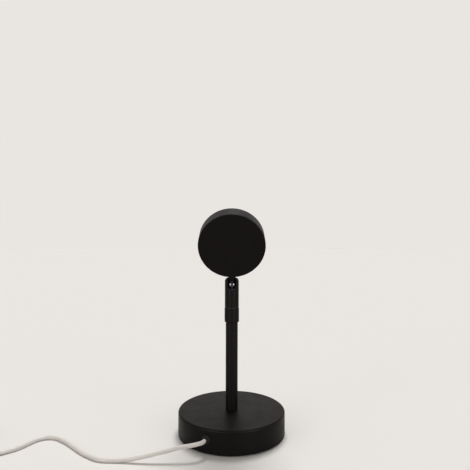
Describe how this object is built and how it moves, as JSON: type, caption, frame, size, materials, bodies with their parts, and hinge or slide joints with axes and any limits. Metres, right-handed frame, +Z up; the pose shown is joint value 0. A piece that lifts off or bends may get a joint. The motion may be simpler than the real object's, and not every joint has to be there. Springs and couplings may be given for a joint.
{
  "type": "sunset projection lamp",
  "caption": "Small table projector lamp: a slim tilting drum head with a domed lens on a slotted ball joint, a straight pole, a weighted round base and a thin USB lead.",
  "frame": {"origin": "centre of the base on the table it stands on", "axes": "+Z up along the pole, +Y the way the beam points, +X to the right when seen from behind the lamp"},
  "size_m": [0.3315, 0.1422, 0.2102],
  "materials": {
    "black_steel": "satin powder coat, warm black",
    "black_alloy": "satin powder coat, warm black",
    "iron": "as cast, oiled",
    "black_plastic": "fine matt texture",
    "zinc_steel": "bright zinc plate",
    "black_rubber": "matt",
    "nylon": "natural nylon",
    "white_pvc": "smooth soft sheath",
    "white_plastic": "fine satin moulding",
    "grey_plastic": "smooth moulding",
    "brass": "turned",
    "black_nickel": "polished black nickel",
    "pad_rubber": "soft silicone",
    "board": "white solder mask on aluminium",
    "phosphor": "yellow phosphor under clear silicone",
    "filter_glass": "coated glass, orange to red",
    "lens_glass": "clear polished glass"
  },
  "bodies": {
    "stand": {"base_shell": "black_steel", "base_weight": "iron", "bottom_plate": "black_plastic", "plate_screws": "zinc_steel", "rubber_feet": "black_rubber", "cord_grommet": "black_rubber", "cable_tie": "black_plastic", "pole": "black_steel", "pole_nipple": "zinc_steel", "nipple_washer": "zinc_steel", "nipple_nut": "zinc_steel", "swivel_collar": "black_alloy", "friction_washer": "black_plastic", "retaining_ring": "zinc_steel", "inner_lead": "white_pvc", "cord_run": "white_pvc", "switch_base": "white_plastic", "switch_cover": "white_plastic", "switch_screws": "zinc_steel", "switch_contacts": "brass", "rocker_pin": "zinc_steel", "cord_link": "white_pvc", "cord_coil": "white_pvc", "coil_ties": "black_plastic", "cord_tail": "white_pvc", "usb_moulding": "white_plastic", "usb_shell": "zinc_steel", "usb_tongue": "white_plastic", "usb_contacts": "brass"},
    "sleeve": {"socket_sleeve": "black_alloy", "swivel_bush": "brass", "seat_spring": "zinc_steel", "ball_seat": "nylon"},
    "head": {"swivel_ball": "black_nickel", "stud_nut": "zinc_steel", "head_barrel": "black_alloy", "thermal_pad": "pad_rubber", "led_board": "board", "led_emitter": "phosphor", "board_screws": "zinc_steel", "filter_holder": "black_plastic", "color_filter": "filter_glass", "filter_clip": "zinc_steel", "front_bezel": "black_alloy", "lens_gasket": "black_rubber", "lens": "lens_glass", "lens_ring": "black_alloy", "head_lead": "white_pvc"},
    "rocker": {"switch_rocker": "grey_plastic"}
  },
  "joints": [
    {"name": "sleeve_turn", "type": "hinge", "parent": "stand", "child": "sleeve", "pos_m": [0, 0, 0.12], "axis": [0, 0, 1], "range_deg": [-170, 170]},
    {"name": "head_tilt", "type": "hinge", "parent": "sleeve", "child": "head", "pos_m": [0, 0, 0.139], "axis": [1, 0, 0], "range_deg": [-21, 69]},
    {"name": "rocker_tilt", "type": "hinge", "parent": "stand", "child": "rocker", "pos_m": [-0.231, -0.0725, 0.0092], "axis": [0.5807, -0.8141, 0], "range_deg": [-16, 0]}
  ]
}
